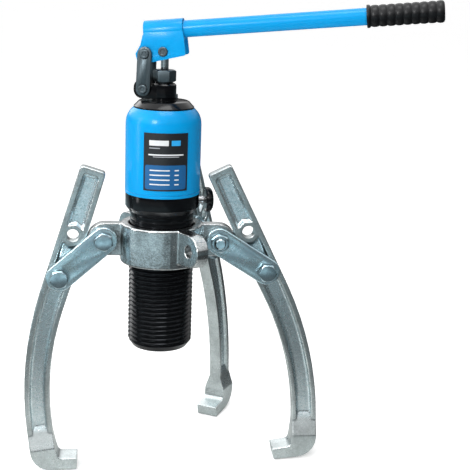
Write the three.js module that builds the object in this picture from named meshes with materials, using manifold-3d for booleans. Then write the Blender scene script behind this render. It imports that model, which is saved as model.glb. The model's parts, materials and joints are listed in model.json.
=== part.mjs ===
// Hydraulic three-jaw gear puller with a built-in hand pump.
// Millimetres, +Z up. The ram axis is Z and the flat nose of the ram is at the origin.
// +X points to the right-hand jaw leg, -X to the left-hand one.
import * as THREE from 'three';
import { mergeVertices } from 'three/addons/utils/BufferGeometryUtils.js';
import Module from 'manifold-3d';

const wasm = await Module();
wasm.setup();

// ---------------------------------------------------------------- dimensions
const GAP = 0.3;                 // play left between pieces that touch
const DEG = Math.PI / 180;

// threaded barrel and base
const THREAD_R = 42.5;           // outside of the M85 thread
const THREAD_PITCH = 6;
const THREAD_DEPTH = 2.2;
const BARREL_END_Z = 4;
const THREAD_TOP_Z = 166;
const NECK_R = 41.6;
const NECK_TOP_Z = 187;
const BORE_R = 30;
const BASE_R = 48.2;
const BASE_TOP_Z = 212;

// ram, piston and return spring inside the barrel
const RAM_R = 25;
const RAM_TOP_Z = 108;
const PISTON_TOP_Z = 128;
const END_RING_TOP_Z = 16;
const SPRING_WIRE_R = 1.6;
const SPRING_TURNS = 8;

// collar with five ears
const COLLAR_R = 54;
const COLLAR_TOP_Z = 172;
const COLLAR_HEIGHT = 52;
const COLLAR_BORE_R = 43;
const EAR_AZIMUTHS = [0, 60, 120, 180, 300];
const EAR_BOLT_R = 75.5;
const EAR_Z = COLLAR_TOP_Z - 22.5;
const EAR_ROUND_R = 21.5;
const EAR_HALF = 8.6;            // half thickness of ears and arms
const EAR_HOLE_R = 7.8;

// straps, bolts and nuts
const STRAP_LENGTH = 76.5;       // hole to hole
const STRAP_ROUND_R = 17.5;
const STRAP_THICK = 8;
const BOLT_R = 7;
const BOLT_CLEAR_R = 7.4;
const HEX_FLATS = 22;
const HEAD_HEIGHT = 9;
const NUT_HEIGHT = 11.5;
const BOLT_TAIL = 3.2;

// jaw arms, drawn along s (down the arm) and n (outward), origin at the arm bolt
const ARM_TO_STRAP = 31.5;       // angle between strap line and arm line, degrees
const ARM_TOP_S = -150;
const ARM_TOP_HALF = 16.8;
const ARM_HALF = 18.2;
const BOSS_S = -58.6;
const BOSS_R = 14.5;
const SPARE_HOLE_R = 8;
const ARM_EYE_R = 17.2;
const OUTER_BEND = { s: 32, n: 18.2, radius: 475, end: 249 };
const INNER_BEND = { s: 47, n: -17.6, radius: 394, end: 232 };
const POCKET_HALF = 8.6;         // half width of the pocket floor
const POCKET_WALL = 3;           // run of the drafted pocket wall
const WEB_HALF = 4.4;            // half thickness left between the pockets
const HOOK_HALF = 16;            // half width of the hook
const HOOK_ANGLE = 25.7;         // lean of the hook block against the straight part
const FLARE = { start: 204, rim: 216, end: 237 };

// rest angle of each leg below the horizontal
const LEGS = [
  { name: 'left', azimuth: 180, strap: 41.5, earHead: -1, armHead: -1 },
  { name: 'right', azimuth: 0, strap: 32.3, earHead: -1, armHead: 1 },
  { name: 'rear', azimuth: 60, strap: 32.2, earHead: -1, armHead: -1 },
];

// reservoir, top plate and pump
const TANK_R = 48.8;
const TANK_WALL = 3;
const TANK_TOP_Z = 323;
const PLATE_TOP_Z = 332;
const PUMP_R = 15.5;
const PUMP_TOP_Z = 354;
const GLAND_FLATS = 26;
const GLAND_TOP_Z = 371;
const PLUNGER_R = 5;

// pump lever, drawn along r (towards the grip) and z, in the lever plane
const LEVER_AZIMUTH = -14;
const LEVER_RISE = 6.2;
const LINK_LOW = { r: -24.4, z: 346.7 };
const LINK_HIGH = { r: -22.8, z: 390.8 };
const PLUNGER_PIN = { r: 0, z: 394.4 };
const LINK_END_R = 9;
const LINK_THICK = 4;
const CHEEK_INSIDE = 11;         // half gap between the socket cheeks
const CHEEK_THICK = 2.6;
const LEVER_PIN_R = 4;
const TUBE_R = 10.65;
const TUBE_WALL = 2.4;
const TUBE_AXIS_Z = 420.4;       // height of the tube centre line at r = 0
const TUBE_START = -21;
const GRIP_START = 252.5;
const GRIP_END = 347;

// release valve
const VALVE_AZIMUTH = 8;
const VALVE_Z = 201;

// ---------------------------------------------------------------- materials
function material(name, color, metalness, roughness) {
  const m = new THREE.MeshStandardMaterial({ color, metalness, roughness });
  m.name = name;
  return m;
}

const zincCast = () => material('zinc_plated_casting', 0xb9bdba, 0.85, 0.45);
const zincForged = () => material('zinc_plated_forging', 0xa9b0b2, 0.85, 0.42);
const zincStrap = () => material('zinc_plated_strap', 0x8e9da6, 0.85, 0.38);
const zincBolt = () => material('zinc_plated_fastener', 0xa5b7bd, 0.9, 0.3);
const blackOxide = () => material('black_oxide_steel', 0x161719, 0.7, 0.4);
const blackPaint = () => material('black_painted_steel', 0x101113, 0.3, 0.35);
const bluePaint = () => material('blue_gloss_paint', 0x0d8fe8, 0.1, 0.25);
const linkSteel = () => material('dark_link_steel', 0x565c60, 0.8, 0.4);
const groundSteel = () => material('ground_steel', 0xc8ccd0, 0.95, 0.2);
const springSteel = () => material('spring_steel', 0x6c7075, 0.9, 0.35);
const sealRubber = () => material('seal_rubber', 0x151515, 0, 0.8);
const gripRubber = () => material('grip_rubber', 0x1b1c1e, 0, 0.75);
const labelFilm = () => material('label_film', 0x14161c, 0.05, 0.4);

// ------------------------------------------------------------- solid helpers
function toSolid(geometry) {
  const g = geometry.clone();
  g.deleteAttribute('normal');
  g.deleteAttribute('uv');
  const merged = mergeVertices(g, 1e-4);
  return new wasm.Manifold(new wasm.Mesh({
    numProp: 3,
    vertProperties: Float32Array.from(merged.attributes.position.array),
    triVerts: Uint32Array.from(merged.index.array),
  }));
}

function toMesh(solid, name, mat) {
  const out = solid.getMesh();
  const g = new THREE.BufferGeometry();
  g.setAttribute('position', new THREE.BufferAttribute(Float32Array.from(out.vertProperties), 3));
  g.setIndex(new THREE.BufferAttribute(Uint32Array.from(out.triVerts), 1));
  g.computeVertexNormals();
  const mesh = new THREE.Mesh(g, mat);
  mesh.name = name;
  return mesh;
}

// turned body about Z from [radius, z] points; closed on the axis or on itself
function turned(points, segments = 36) {
  const first = points[0];
  const last = points[points.length - 1];
  const list = points.map(([r, z]) => new THREE.Vector2(r, z));
  const openAxis = first[0] > 0 || last[0] > 0;
  if (openAxis) list.push(new THREE.Vector2(first[0], first[1]));
  const g = new THREE.LatheGeometry(list, segments);
  g.rotateX(Math.PI / 2);
  const solid = toSolid(g);
  if (solid.volume() > 0) return solid;
  const index = g.index.array;
  for (let i = 0; i < index.length; i += 3) {
    [index[i], index[i + 1]] = [index[i + 1], index[i]];
  }
  return toSolid(g);
}

// prism from [x, y] points, extruded from z0 to z1
function prism(points, z0, z1, holes = []) {
  const shape = new THREE.Shape(points.map(([x, y]) => new THREE.Vector2(x, y)));
  for (const hole of holes) {
    shape.holes.push(new THREE.Path(hole.map(([x, y]) => new THREE.Vector2(x, y))));
  }
  const g = new THREE.ExtrudeGeometry(shape, { depth: z1 - z0, bevelEnabled: false });
  g.translate(0, 0, z0);
  return toSolid(g);
}

function rod(radius, z0, z1, segments = 32) {
  return turned([[0, z0], [radius, z0], [radius, z1], [0, z1]], segments);
}

function circlePoints(x, y, radius, segments = 32) {
  const points = [];
  for (let i = 0; i < segments; i += 1) {
    const a = (2 * Math.PI * i) / segments;
    points.push([x + radius * Math.cos(a), y + radius * Math.sin(a)]);
  }
  return points;
}

function hexPoints(flats, turn = 0) {
  return circlePoints(0, 0, flats / Math.sqrt(3), 6).map(([x, y]) => {
    const c = Math.cos(turn * DEG);
    const s = Math.sin(turn * DEG);
    return [x * c - y * s, x * s + y * c];
  });
}

// arc points about (cx, cy) from angle a0 to a1 in degrees
function arcPoints(cx, cy, radius, a0, a1, steps) {
  const points = [];
  for (let i = 0; i <= steps; i += 1) {
    const a = (a0 + ((a1 - a0) * i) / steps) * DEG;
    points.push([cx + radius * Math.cos(a), cy + radius * Math.sin(a)]);
  }
  return points;
}

// outline with rounded corners: each entry is [x, y] or [x, y, radius]
function rounded(corners, steps = 5) {
  const out = [];
  const count = corners.length;
  corners.forEach(([x, y, radius], i) => {
    if (!radius) {
      out.push([x, y]);
      return;
    }
    const here = new THREE.Vector2(x, y);
    const before = new THREE.Vector2(...corners[(i + count - 1) % count].slice(0, 2));
    const after = new THREE.Vector2(...corners[(i + 1) % count].slice(0, 2));
    const back = before.sub(here).normalize();
    const ahead = after.sub(here).normalize();
    const half = Math.acos(THREE.MathUtils.clamp(back.dot(ahead), -1, 1)) / 2;
    const reach = radius / Math.tan(half);
    const mid = back.clone().add(ahead).normalize().multiplyScalar(radius / Math.sin(half));
    const centre = here.clone().add(mid);
    const from = here.clone().addScaledVector(back, reach).sub(centre);
    const to = here.clone().addScaledVector(ahead, reach).sub(centre);
    let sweep = to.angle() - from.angle();
    if (sweep > Math.PI) sweep -= 2 * Math.PI;
    if (sweep < -Math.PI) sweep += 2 * Math.PI;
    for (let k = 0; k <= steps; k += 1) {
      const a = from.angle() + (sweep * k) / steps;
      out.push([centre.x + radius * Math.cos(a), centre.y + radius * Math.sin(a)]);
    }
  });
  return out;
}

// stadium outline between two points
function stadiumPoints(a, b, radius, steps = 12) {
  const turn = Math.atan2(b[1] - a[1], b[0] - a[0]) / DEG;
  return [
    ...arcPoints(b[0], b[1], radius, turn - 90, turn + 90, steps),
    ...arcPoints(a[0], a[1], radius, turn + 90, turn + 270, steps),
  ];
}

function moved(solid, matrix) {
  return solid.transform(Array.from(matrix.elements));
}

// matrix that carries x, y, z onto three given directions and an origin
function frameMatrix(x, y, z, origin) {
  const m = new THREE.Matrix4().makeBasis(x, y, z);
  m.setPosition(origin);
  return m;
}

function radial(azimuth) {
  return new THREE.Vector3(Math.cos(azimuth * DEG), Math.sin(azimuth * DEG), 0);
}

function tangent(azimuth) {
  return new THREE.Vector3(-Math.sin(azimuth * DEG), Math.cos(azimuth * DEG), 0);
}

const UP = new THREE.Vector3(0, 0, 1);

// local x = outward, local y = up, local z = across; z is chosen to keep the frame right-handed
function uprightFrame(azimuth, originR, originZ) {
  const out = radial(azimuth);
  const across = out.clone().cross(UP);
  return frameMatrix(out, UP, across, out.clone().multiplyScalar(originR).setZ(originZ));
}

// ------------------------------------------------------------ barrel and ram
function barrel() {
  const profile = [[BORE_R, BARREL_END_Z], [35.5, BARREL_END_Z], [THREAD_R - THREAD_DEPTH, 10]];
  for (let z = 13; z + THREAD_PITCH < THREAD_TOP_Z; z += THREAD_PITCH) {
    profile.push([THREAD_R, z]);
    profile.push([THREAD_R - THREAD_DEPTH, z + THREAD_PITCH / 2]);
  }
  profile.push([NECK_R, THREAD_TOP_Z], [NECK_R, NECK_TOP_Z - GAP], [BORE_R, NECK_TOP_Z - GAP]);
  return toMesh(turned(profile, 28), 'barrel', blackOxide());
}

function endRing() {
  const ring = turned([
    [RAM_R + GAP, BARREL_END_Z + 1],
    [BORE_R - GAP, BARREL_END_Z + 1],
    [BORE_R - GAP, END_RING_TOP_Z],
    [RAM_R + GAP, END_RING_TOP_Z],
  ]);
  return toMesh(ring, 'barrel_end_ring', blackOxide());
}

function ram() {
  const body = turned([
    [0, 0], [19, 0], [22, 2], [RAM_R, 2], [RAM_R, RAM_TOP_Z - GAP], [0, RAM_TOP_Z - GAP],
  ]);
  return toMesh(body, 'ram', groundSteel());
}

function piston() {
  const body = turned([
    [0, RAM_TOP_Z], [BORE_R - 0.4, RAM_TOP_Z], [BORE_R - 0.4, 114], [26, 114],
    [26, 119], [BORE_R - 0.4, 119], [BORE_R - 0.4, PISTON_TOP_Z], [0, PISTON_TOP_Z],
  ]);
  return toMesh(body, 'piston', groundSteel());
}

function pistonSeal() {
  const ring = turned([
    [26 + GAP, 114 + GAP], [BORE_R - GAP, 114 + GAP],
    [BORE_R - GAP, 119 - GAP], [26 + GAP, 119 - GAP],
  ]);
  return toMesh(ring, 'piston_seal', sealRubber());
}

class Helix extends THREE.Curve {
  constructor(radius, z0, z1, turns) {
    super();
    Object.assign(this, { radius, z0, z1, turns });
  }

  getPoint(t, target = new THREE.Vector3()) {
    const a = 2 * Math.PI * this.turns * t;
    const z = this.z0 + (this.z1 - this.z0) * t;
    return target.set(this.radius * Math.cos(a), this.radius * Math.sin(a), z);
  }
}

function returnSpring() {
  const mean = (RAM_R + BORE_R) / 2;
  const low = END_RING_TOP_Z + SPRING_WIRE_R + 0.5;
  const high = RAM_TOP_Z - SPRING_WIRE_R - 0.5;
  const section = new THREE.Shape(
    circlePoints(0, 0, SPRING_WIRE_R, 5).map(([x, y]) => new THREE.Vector2(x, y)),
  );
  const g = new THREE.ExtrudeGeometry(section, {
    extrudePath: new Helix(mean, low, high, SPRING_TURNS),
    steps: SPRING_TURNS * 14,
    bevelEnabled: false,
  });
  return toMesh(toSolid(g), 'return_spring', springSteel());
}

// ------------------------------------------------- base block and oil tank
function baseBlock() {
  let body = turned([
    [0, NECK_TOP_Z], [NECK_R + 1.4, NECK_TOP_Z], [NECK_R + 1.4, NECK_TOP_Z + 1.5],
    [46.2, NECK_TOP_Z + 6], [BASE_R, NECK_TOP_Z + 7.5], [BASE_R, BASE_TOP_Z],
    [TANK_R - TANK_WALL - GAP, BASE_TOP_Z], [TANK_R - TANK_WALL - GAP, BASE_TOP_Z + 3],
    [TANK_R - TANK_WALL - 3, BASE_TOP_Z + 3], [TANK_R - TANK_WALL - 3, BASE_TOP_Z + 8],
    [0, BASE_TOP_Z + 8],
  ]);
  const seat = moved(rod(5.2, 40, 60, 24), valveFrame());
  body = body.subtract(seat).subtract(rod(3, NECK_TOP_Z - 5, BASE_TOP_Z + 20, 16));
  return toMesh(body, 'base_block', blackPaint());
}

function tankSeal() {
  const outside = TANK_R - TANK_WALL - GAP;
  const inside = TANK_R - TANK_WALL - 3 + GAP;
  const ring = turned([
    [inside, BASE_TOP_Z + 3 + GAP], [outside, BASE_TOP_Z + 3 + GAP],
    [outside, BASE_TOP_Z + 7.5], [inside, BASE_TOP_Z + 7.5],
  ]);
  return toMesh(ring, 'tank_seal', sealRubber());
}

function tank() {
  const low = BASE_TOP_Z + GAP;
  const inner = TANK_R - TANK_WALL;
  const shell = turned([
    [inner, low], [TANK_R, low], [TANK_R, 302], [48.3, 308], [46.6, 314], [43.6, 319.4],
    [39.5, TANK_TOP_Z], [20, TANK_TOP_Z], [20, TANK_TOP_Z - TANK_WALL],
    [38, TANK_TOP_Z - TANK_WALL], [41.5, 316.5], [44, 312], [45.5, 307], [inner, 301],
  ]);
  return toMesh(shell, 'oil_tank', bluePaint());
}

function tankLabel() {
  const inner = TANK_R + GAP;
  const outer = inner + 0.5;
  const half = 34;
  const outline = [
    ...arcPoints(0, 0, outer, -88 - half, -88 + half, 14),
    ...arcPoints(0, 0, inner, -88 + half, -88 - half, 14),
  ];
  return toMesh(prism(outline, 223, 296.5), 'tank_label', labelFilm());
}

function suctionTube() {
  const tube = turned([
    [4, BASE_TOP_Z + 8 + GAP], [9, BASE_TOP_Z + 8 + GAP],
    [9, TANK_TOP_Z - 1], [4, TANK_TOP_Z - 1],
  ], 24);
  return toMesh(tube, 'pump_tube', groundSteel());
}

function topPlate() {
  let body = turned([
    [10, TANK_TOP_Z + GAP], [38.8, TANK_TOP_Z + GAP], [38.8, TANK_TOP_Z + 1.8],
    [31.7, PLATE_TOP_Z], [10, PLATE_TOP_Z],
  ]);
  const plugHole = rod(4.4, 300, 340, 20).translate(12, 21, 0);
  body = body.subtract(plugHole);
  return toMesh(body, 'top_plate', blackPaint());
}

function fillerPlug() {
  const head = prism(hexPoints(12), PLATE_TOP_Z + GAP, PLATE_TOP_Z + 6);
  const stem = rod(4, TANK_TOP_Z + 1, PLATE_TOP_Z + 3, 20);
  return toMesh(head.add(stem).translate(12, 21, 0), 'filler_plug', groundSteel());
}

// ------------------------------------------------------------ release valve
// local z = outward along the valve axis
function valveFrame() {
  const out = radial(VALVE_AZIMUTH);
  const origin = new THREE.Vector3(0, 0, VALVE_Z);
  return frameMatrix(tangent(VALVE_AZIMUTH), UP, out, origin);
}

function valveStem() {
  const stem = turned([
    [0, 40.6], [2, 40.6], [4.9, 44], [4.9, 56.5], [3, 56.5], [3, 63], [0, 63],
  ], 24);
  return toMesh(moved(stem, valveFrame()), 'valve_stem', groundSteel());
}

function valveKnob() {
  const count = 12;
  let knob = turned([
    [3 + GAP, 57], [15, 57], [16.6, 58.2], [16.6, 62.5], [14, 65.5], [8, 67.5],
    [0, 67.8], [0, 63 + GAP], [3 + GAP, 63 + GAP],
  ], 24);
  for (let i = 0; i < count; i += 1) {
    const a = (2 * Math.PI * i) / count;
    const groove = rod(1.6, 50, 70, 6).translate(17.4 * Math.cos(a), 17.4 * Math.sin(a), 0);
    knob = knob.subtract(groove);
  }
  return toMesh(moved(knob, valveFrame()), 'valve_knob', blackPaint());
}

// -------------------------------------------------------------------- collar
function ear(azimuth) {
  const outline = [
    [46 - EAR_BOLT_R, -EAR_ROUND_R],
    ...arcPoints(0, 0, EAR_ROUND_R, -90, 90, 12),
    [46 - EAR_BOLT_R, EAR_ROUND_R],
  ];
  const body = prism(outline, -EAR_HALF, EAR_HALF);
  return moved(body, uprightFrame(azimuth, EAR_BOLT_R, EAR_Z));
}

function collar() {
  const low = COLLAR_TOP_Z - COLLAR_HEIGHT;
  let body = turned([
    [COLLAR_BORE_R + 1.5, low], [COLLAR_R - 1.5, low], [COLLAR_R, low + 1.5],
    [COLLAR_R, COLLAR_TOP_Z - 1.2], [COLLAR_R - 1.2, COLLAR_TOP_Z],
    [COLLAR_BORE_R + 1.5, COLLAR_TOP_Z], [COLLAR_BORE_R, COLLAR_TOP_Z - 1.5],
    [COLLAR_BORE_R, low + 1.5],
  ]);
  for (const azimuth of EAR_AZIMUTHS) {
    body = body.add(ear(azimuth));
  }
  for (const azimuth of EAR_AZIMUTHS) {
    const hole = moved(rod(EAR_HOLE_R, -30, 30, 20), uprightFrame(azimuth, EAR_BOLT_R, EAR_Z));
    body = body.subtract(hole);
  }
  body = body.subtract(rod(COLLAR_BORE_R, low - 5, COLLAR_TOP_Z + 5));
  return toMesh(body, 'collar', zincCast());
}

// ------------------------------------------------------------------ jaw legs
// strap frame: local x along the strap away from the ear bolt, y up-outward, z across
function strapFrame(leg) {
  const turn = new THREE.Matrix4().makeRotationZ(-leg.strap * DEG);
  return uprightFrame(leg.azimuth, EAR_BOLT_R, EAR_Z).multiply(turn);
}

// arm frame: local x = s (down the arm), local y = n (outward), z across, origin at the arm bolt
function armFrame(leg) {
  const shift = new THREE.Matrix4().makeTranslation(STRAP_LENGTH, 0, 0);
  const turn = new THREE.Matrix4().makeRotationZ(-ARM_TO_STRAP * DEG);
  return strapFrame(leg).multiply(shift).multiply(turn);
}

function strap(leg, side) {
  const outline = stadiumPoints([0, 0], [STRAP_LENGTH, 0], STRAP_ROUND_R, 10);
  const holes = [circlePoints(0, 0, BOLT_CLEAR_R, 20), circlePoints(STRAP_LENGTH, 0, BOLT_CLEAR_R, 20)];
  const near = EAR_HALF + GAP;
  const plate = side > 0
    ? prism(outline, near, near + STRAP_THICK, holes)
    : prism(outline, -near - STRAP_THICK, -near, holes);
  const label = side > 0 ? 'a' : 'b';
  return toMesh(moved(plate, strapFrame(leg)), `strap_${leg.name}_${label}`, zincStrap());
}

// point on a bend of the arm edge, for a given position s
function bendPoint(bend, s) {
  const run = s - bend.s;
  return [s, bend.n - (bend.radius - Math.sqrt(bend.radius ** 2 - run ** 2))];
}

function bendPoints(bend, inset, steps, end) {
  const points = [];
  for (let i = 0; i <= steps; i += 1) {
    const s = bend.s + ((end - bend.s) * i) / steps;
    const [x, y] = bendPoint(bend, s);
    points.push([x, y + inset]);
  }
  return points;
}

function armOutline() {
  const outer = bendPoints(OUTER_BEND, 0, 9, OUTER_BEND.end);
  const inner = bendPoints(INNER_BEND, 0, 9, INNER_BEND.end).reverse();
  const hook = rounded([
    outer[outer.length - 1],
    [273.5, -44.6, 28],
    [252.7, -100.9, 1.5],
    [237, -96.7, 1.5],
    [245.2, -72.2, 7],
    inner[0],
  ]);
  const top = rounded([
    [0, -ARM_HALF],
    [ARM_TOP_S, -ARM_TOP_HALF, 4.5],
    [ARM_TOP_S, ARM_TOP_HALF, 4.5],
    [0, ARM_HALF],
  ]);
  return [...top, ...outer, ...hook.slice(1, -1), ...inner].reverse();
}

// across profile along the lean of the hook block: thin bar that flares to the wide hook
function armFlare() {
  const start = -260;
  const end = 330;
  const outline = [
    [start, -EAR_HALF], [FLARE.rim, -EAR_HALF], [FLARE.end, -HOOK_HALF], [end, -HOOK_HALF],
    [end, HOOK_HALF], [FLARE.end, HOOK_HALF], [FLARE.rim, EAR_HALF], [start, EAR_HALF],
  ];
  return moved(prism(outline, -200, 200), leanFrame());
}

// frame whose x runs along the hook block and whose y runs across the arm
function leanFrame() {
  const c = Math.cos(HOOK_ANGLE * DEG);
  const s = Math.sin(HOOK_ANGLE * DEG);
  const along = new THREE.Vector3(c, -s, 0);
  const across = new THREE.Vector3(0, 0, 1);
  return frameMatrix(along, across, along.clone().cross(across), new THREE.Vector3());
}

// pocket cut with drafted walls, from the web out to beyond the face
function pocketCut(outline) {
  const shape = new THREE.Shape(outline.map(([x, y]) => new THREE.Vector2(x, y)));
  const depth = EAR_HALF - WEB_HALF;
  const g = new THREE.ExtrudeGeometry(shape, {
    depth: 14,
    bevelEnabled: true,
    bevelThickness: depth,
    bevelSize: POCKET_WALL,
    bevelSegments: 1,
  });
  g.translate(0, 0, EAR_HALF);
  return toSolid(g);
}

function lowerPocketOutline() {
  const inset = ARM_HALF - POCKET_HALF;
  const outer = bendPoints(OUTER_BEND, -inset, 7, 246);
  const inner = bendPoints(INNER_BEND, inset - 0.6, 7, 232).reverse();
  const eye = arcPoints(0, 0, ARM_EYE_R + 2.5, -26, 26, 5);
  return [...eye, ...outer, ...inner];
}

function armPockets() {
  const upper = rounded([
    [ARM_TOP_S + 11, -POCKET_HALF + 1.2, 2],
    [BOSS_S - 13, -POCKET_HALF],
    [BOSS_S - 17.5, 0],
    [BOSS_S - 13, POCKET_HALF],
    [ARM_TOP_S + 11, POCKET_HALF - 1.2, 2],
  ], 3);
  const middle = [
    [BOSS_S + 14.5, -POCKET_HALF], [-ARM_EYE_R - 1, -POCKET_HALF], [-ARM_EYE_R - 4, 0],
    [-ARM_EYE_R - 1, POCKET_HALF], [BOSS_S + 14.5, POCKET_HALF], [BOSS_S + 19, 0],
  ];
  const limit = moved(prism([
    [-260, WEB_HALF - 1], [FLARE.start - 2.8, WEB_HALF - 1], [FLARE.start, WEB_HALF],
    [FLARE.end, HOOK_HALF], [FLARE.end, 40], [-260, 40],
  ], -200, 200), leanFrame());
  const lower = pocketCut(lowerPocketOutline()).intersect(limit);
  return pocketCut(upper.reverse()).add(pocketCut(middle)).add(lower);
}

function arm(leg) {
  const mirror = new THREE.Matrix4().makeRotationX(Math.PI);
  const flip = new THREE.Matrix4().makeScale(1, -1, 1).premultiply(mirror);
  let body = prism(armOutline(), -HOOK_HALF, HOOK_HALF).intersect(armFlare());
  const pockets = armPockets();
  body = body.subtract(pockets).subtract(moved(pockets, flip));
  const spare = rod(SPARE_HOLE_R, -30, 30, 20).translate(BOSS_S, 0, 0);
  body = body.subtract(spare).subtract(rod(EAR_HOLE_R, -30, 30, 20));
  return toMesh(moved(body, armFrame(leg)), `arm_${leg.name}`, zincForged());
}

// hex bolt across the leg; side is where the head sits, in the local across direction
function bolt(side) {
  const face = EAR_HALF + GAP + STRAP_THICK + GAP;
  const tail = face + GAP + NUT_HEIGHT + BOLT_TAIL;
  const shank = turned([
    [0, -face - 2], [BOLT_R, -face - 2], [BOLT_R, tail - 1.2], [BOLT_R - 1.2, tail], [0, tail],
  ], 18);
  const cap = turned([
    [0, -face - HEAD_HEIGHT], [HEX_FLATS / 2 - 0.3, -face - HEAD_HEIGHT],
    [HEX_FLATS / 2 + 1.8, -face - HEAD_HEIGHT + 1.6], [HEX_FLATS / 2 + 1.8, -face], [0, -face],
  ], 18);
  const head = prism(hexPoints(HEX_FLATS), -face - HEAD_HEIGHT, -face).intersect(cap);
  const body = shank.add(head);
  const turn = new THREE.Matrix4().makeRotationX(side > 0 ? Math.PI : 0);
  return moved(body, turn);
}

function nut(side) {
  const face = EAR_HALF + GAP + STRAP_THICK + GAP;
  const wide = HEX_FLATS / 2 + 1.8;
  const envelope = turned([
    [0, face], [HEX_FLATS / 2, face], [wide, face + 1.2],
    [wide, face + NUT_HEIGHT - 1.4], [HEX_FLATS / 2 - 0.2, face + NUT_HEIGHT],
    [0, face + NUT_HEIGHT],
  ], 18);
  const body = prism(hexPoints(HEX_FLATS, 12), face, face + NUT_HEIGHT)
    .intersect(envelope)
    .subtract(rod(BOLT_R + GAP, face - 2, face + NUT_HEIGHT + 2, 18));
  const turn = new THREE.Matrix4().makeRotationX(side > 0 ? Math.PI : 0);
  return moved(body, turn);
}

function jawLeg(leg) {
  const group = new THREE.Group();
  group.name = `leg_${leg.name}`;
  const atEar = strapFrame(leg);
  const atArm = armFrame(leg);
  group.add(strap(leg, 1), strap(leg, -1), arm(leg));
  group.add(toMesh(moved(bolt(leg.earHead), atEar), `ear_bolt_${leg.name}`, zincBolt()));
  group.add(toMesh(moved(nut(leg.earHead), atEar), `ear_nut_${leg.name}`, zincBolt()));
  group.add(toMesh(moved(bolt(leg.armHead), atArm), `arm_bolt_${leg.name}`, zincBolt()));
  group.add(toMesh(moved(nut(leg.armHead), atArm), `arm_nut_${leg.name}`, zincBolt()));
  return group;
}

// ---------------------------------------------------------------------- pump
// lever frame: local x = r towards the grip, local y = z up, local z across
function leverFrame() {
  return uprightFrame(LEVER_AZIMUTH, 0, 0);
}

const LUG_HALF = CHEEK_INSIDE + CHEEK_THICK;

function pumpBody() {
  let body = turned([
    [0, PLATE_TOP_Z + GAP], [PUMP_R, PLATE_TOP_Z + GAP], [PUMP_R, PUMP_TOP_Z - 2],
    [PUMP_R - 2, PUMP_TOP_Z], [0, PUMP_TOP_Z],
  ], 30);
  const lug = rounded([
    [0, 334.6],
    [LINK_LOW.r - 12.6, 334.6, 11],
    [LINK_LOW.r - 12.6, 359.3, 11],
    [LINK_LOW.r + 6, 359.3, 3],
    [LINK_LOW.r + 9, PUMP_TOP_Z - 3],
    [0, PUMP_TOP_Z - 3],
  ], 6);
  body = body.add(moved(prism(lug.reverse(), -LUG_HALF, LUG_HALF), leverFrame()));
  const pinHole = rod(LEVER_PIN_R + GAP, -30, 30, 20).translate(LINK_LOW.r, LINK_LOW.z, 0);
  body = body.subtract(moved(pinHole, leverFrame()));
  body = body.subtract(rod(PLUNGER_R + GAP, 335.5, 360, 24));
  body = body.subtract(rod(9 + GAP, PUMP_TOP_Z - 6, 360, 24));
  return toMesh(body, 'pump_body', blackPaint());
}

function glandNut() {
  const cap = turned([
    [0, PUMP_TOP_Z + 1.9], [12.6, PUMP_TOP_Z + 1.9], [15.2, PUMP_TOP_Z + 3.4],
    [15.2, GLAND_TOP_Z - 2], [11.6, GLAND_TOP_Z], [0, GLAND_TOP_Z],
  ], 24);
  const hex = prism(hexPoints(GLAND_FLATS, -8), PUMP_TOP_Z + 1.9, GLAND_TOP_Z).intersect(cap);
  const body = hex
    .add(rod(11, PUMP_TOP_Z + GAP, PUMP_TOP_Z + 3, 24))
    .add(rod(9, PUMP_TOP_Z - 5.5, PUMP_TOP_Z + 3, 24))
    .subtract(rod(PLUNGER_R + GAP, 340, 380, 24));
  return toMesh(body, 'gland_nut', blackOxide());
}

function plunger() {
  const stem = rod(PLUNGER_R, 343.5, 392, 24);
  const outline = [...circlePoints(0, PLUNGER_PIN.z, 7.6, 24)];
  const eye = moved(prism(outline, -7, 7), leverFrame());
  const hole = rod(LEVER_PIN_R + GAP, -30, 30, 20).translate(0, PLUNGER_PIN.z, 0);
  const body = stem.add(eye).subtract(moved(hole, leverFrame()));
  return toMesh(body, 'plunger', groundSteel());
}

function crossPin(name, at, reach, headR) {
  const headThick = 2.2;
  const body = turned([
    [0, -reach - headThick], [headR - 0.6, -reach - headThick], [headR, -reach - headThick + 0.6],
    [headR, -reach], [LEVER_PIN_R, -reach], [LEVER_PIN_R, reach], [headR, reach],
    [headR, reach + headThick - 0.6], [headR - 0.6, reach + headThick], [0, reach + headThick],
  ], 20).translate(at.r, at.z, 0);
  return toMesh(moved(body, leverFrame()), name, blackOxide());
}

function link(side) {
  const outline = stadiumPoints([LINK_LOW.r, LINK_LOW.z], [LINK_HIGH.r, LINK_HIGH.z], LINK_END_R, 10);
  const holes = [LINK_LOW, LINK_HIGH].map((p) => circlePoints(p.r, p.z, LEVER_PIN_R + GAP, 20));
  const near = LUG_HALF + GAP;
  const plate = side > 0
    ? prism(outline, near, near + LINK_THICK, holes)
    : prism(outline, -near - LINK_THICK, -near, holes);
  const name = side > 0 ? 'link_plate_a' : 'link_plate_b';
  return toMesh(moved(plate, leverFrame()), name, linkSteel());
}

// ------------------------------------------------------------ pump lever
// frame along the lever tube: local z = along the tube from r = 0
function tubeFrame() {
  const lean = LEVER_RISE * DEG;
  const out = radial(LEVER_AZIMUTH);
  const along = out.clone().multiplyScalar(Math.cos(lean)).addScaledVector(UP, Math.sin(lean));
  const side = out.clone().cross(UP);
  const origin = new THREE.Vector3(0, 0, TUBE_AXIS_Z);
  return frameMatrix(side.clone(), along.clone().cross(side), along, origin);
}

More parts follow.
